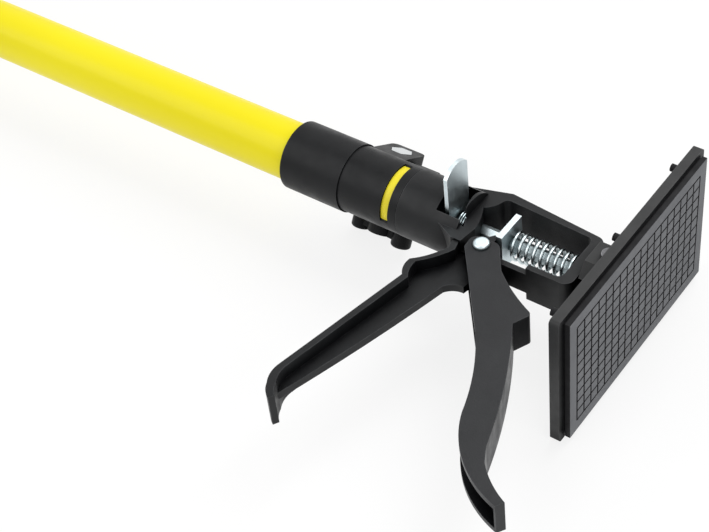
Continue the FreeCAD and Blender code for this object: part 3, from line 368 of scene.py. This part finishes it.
def makeSprings():
    for node, spec in springSpecs.items():
        piece = bpy.data.objects.new(spec["piece"], nodes[node].data.copy())
        bpy.context.scene.collection.objects.link(piece)
        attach(piece, "head")
        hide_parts(node)
        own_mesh(piece)


makeSprings()
print("springs made")

# pale ground under the lowest edge, and a plain even studio
stageSpec = {"floorHeight": -0.0402, "size": 30.0, "tone": 0.92, "matte": 0.9, "whiten": 0.82, "world": 0.46}


# 1 where the eye, a mirror or a clear piece looks straight at the surface
def seenDirectly(tree):
    rays = tree.nodes.new("ShaderNodeLightPath")
    total = rays.outputs["Is Camera Ray"]
    for name in ("Is Glossy Ray", "Is Transmission Ray"):
        both = tree.nodes.new("ShaderNodeMath")
        both.operation = "MAXIMUM"
        tree.links.new(total, both.inputs[0])
        tree.links.new(rays.outputs[name], both.inputs[1])
        total = both.outputs[0]
    return total


def makeFloor():
    spec = stageSpec
    half = spec["size"] / 2
    mesh = bpy.data.meshes.new("floor")
    corners = [(-half, -half, spec["floorHeight"]), (half, -half, spec["floorHeight"]),
               (half, half, spec["floorHeight"]), (-half, half, spec["floorHeight"])]
    mesh.from_pydata(corners, [], [(0, 1, 2, 3)])
    floor = bpy.data.objects.new("floor", mesh)
    bpy.context.scene.collection.objects.link(floor)
    material = bpy.data.materials.new("paleFloor")
    material.use_nodes = True
    tree = material.node_tree
    shader = tree.nodes["Principled BSDF"]
    shader.inputs["Base Color"].default_value = (spec["tone"],) * 3 + (1.0,)
    shader.inputs["Roughness"].default_value = spec["matte"]
    shader.inputs["Specular IOR Level"].default_value = 0.0
    glow = tree.nodes.new("ShaderNodeEmission")
    glow.inputs["Color"].default_value = (1.0, 1.0, 1.0, 1.0)
    glow.inputs["Strength"].default_value = 1.0
    share = tree.nodes.new("ShaderNodeMath")
    share.operation = "MULTIPLY"
    share.inputs[1].default_value = spec["whiten"]
    tree.links.new(seenDirectly(tree), share.inputs[0])
    blend = tree.nodes.new("ShaderNodeMixShader")
    tree.links.new(share.outputs[0], blend.inputs[0])
    tree.links.new(shader.outputs[0], blend.inputs[1])
    tree.links.new(glow.outputs[0], blend.inputs[2])
    tree.links.new(blend.outputs[0], tree.nodes["Material Output"].inputs["Surface"])
    mesh.materials.append(material)


def makeWorld():
    world = bpy.data.worlds.new("studio")
    bpy.context.scene.world = world
    world.use_nodes = True
    tree = world.node_tree
    plain = tree.nodes["Background"]
    plain.inputs["Color"].default_value = (1.0, 1.0, 1.0, 1.0)
    plain.inputs["Strength"].default_value = stageSpec["world"]
    white = tree.nodes.new("ShaderNodeBackground")
    white.inputs["Strength"].default_value = 1.0
    blend = tree.nodes.new("ShaderNodeMixShader")
    tree.links.new(seenDirectly(tree), blend.inputs[0])
    tree.links.new(plain.outputs[0], blend.inputs[1])
    tree.links.new(white.outputs[0], blend.inputs[2])
    tree.links.new(blend.outputs[0], tree.nodes["World Output"].inputs[0])


lampSpecs = {
    "keyPanel": {"at": (1.3, 1.3, 2.0), "aim": (1.05, -0.03, 0.0), "size": 1.6, "power": 36.0},
    "fillPanel": {"at": (0.1, -1.2, 1.5), "aim": (1.05, -0.03, 0.0), "size": 1.8, "power": 14.0},
    "sidePanel": {"at": (2.6, -0.6, 0.9), "aim": (1.05, -0.03, 0.0), "size": 1.2, "power": 8.0},
}


def makeLamps():
    for name, spec in lampSpecs.items():
        lamp = bpy.data.lights.new(name, "AREA")
        lamp.shape = "SQUARE"
        lamp.size = spec["size"]
        lamp.energy = spec["power"]
        item = bpy.data.objects.new(name, lamp)
        item.location = spec["at"]
        aim = Vector(spec["aim"]) - Vector(spec["at"])
        item.rotation_euler = aim.to_track_quat("-Z", "Y").to_euler()
        bpy.context.scene.collection.objects.link(item)


cameraSpec = {"at": (1.39048, -0.46455, 0.55050), "right": (0.80713, 0.58331, -0.09103),
              "up": (-0.36392, 0.61299, 0.70129), "lens": 85.23, "sensor": 36.0}


def makeCamera():
    spec = cameraSpec
    right = Vector(spec["right"]).normalized()
    up = Vector(spec["up"])
    up = (up - right * up.dot(right)).normalized()
    back = right.cross(up)
    turn = Matrix((right, up, back)).transposed().to_4x4()
    camera = bpy.data.cameras.new("camera")
    camera.lens = spec["lens"]
    camera.sensor_fit = "HORIZONTAL"
    camera.sensor_width = spec["sensor"]
    camera.clip_start = 0.01
    item = bpy.data.objects.new("camera", camera)
    item.matrix_world = Matrix.Translation(spec["at"]) @ turn
    bpy.context.scene.collection.objects.link(item)
    bpy.context.scene.camera = item


makeFloor()
makeWorld()
makeLamps()
makeCamera()
bpy.context.scene.view_settings.view_transform = "Standard"
print("stage set")
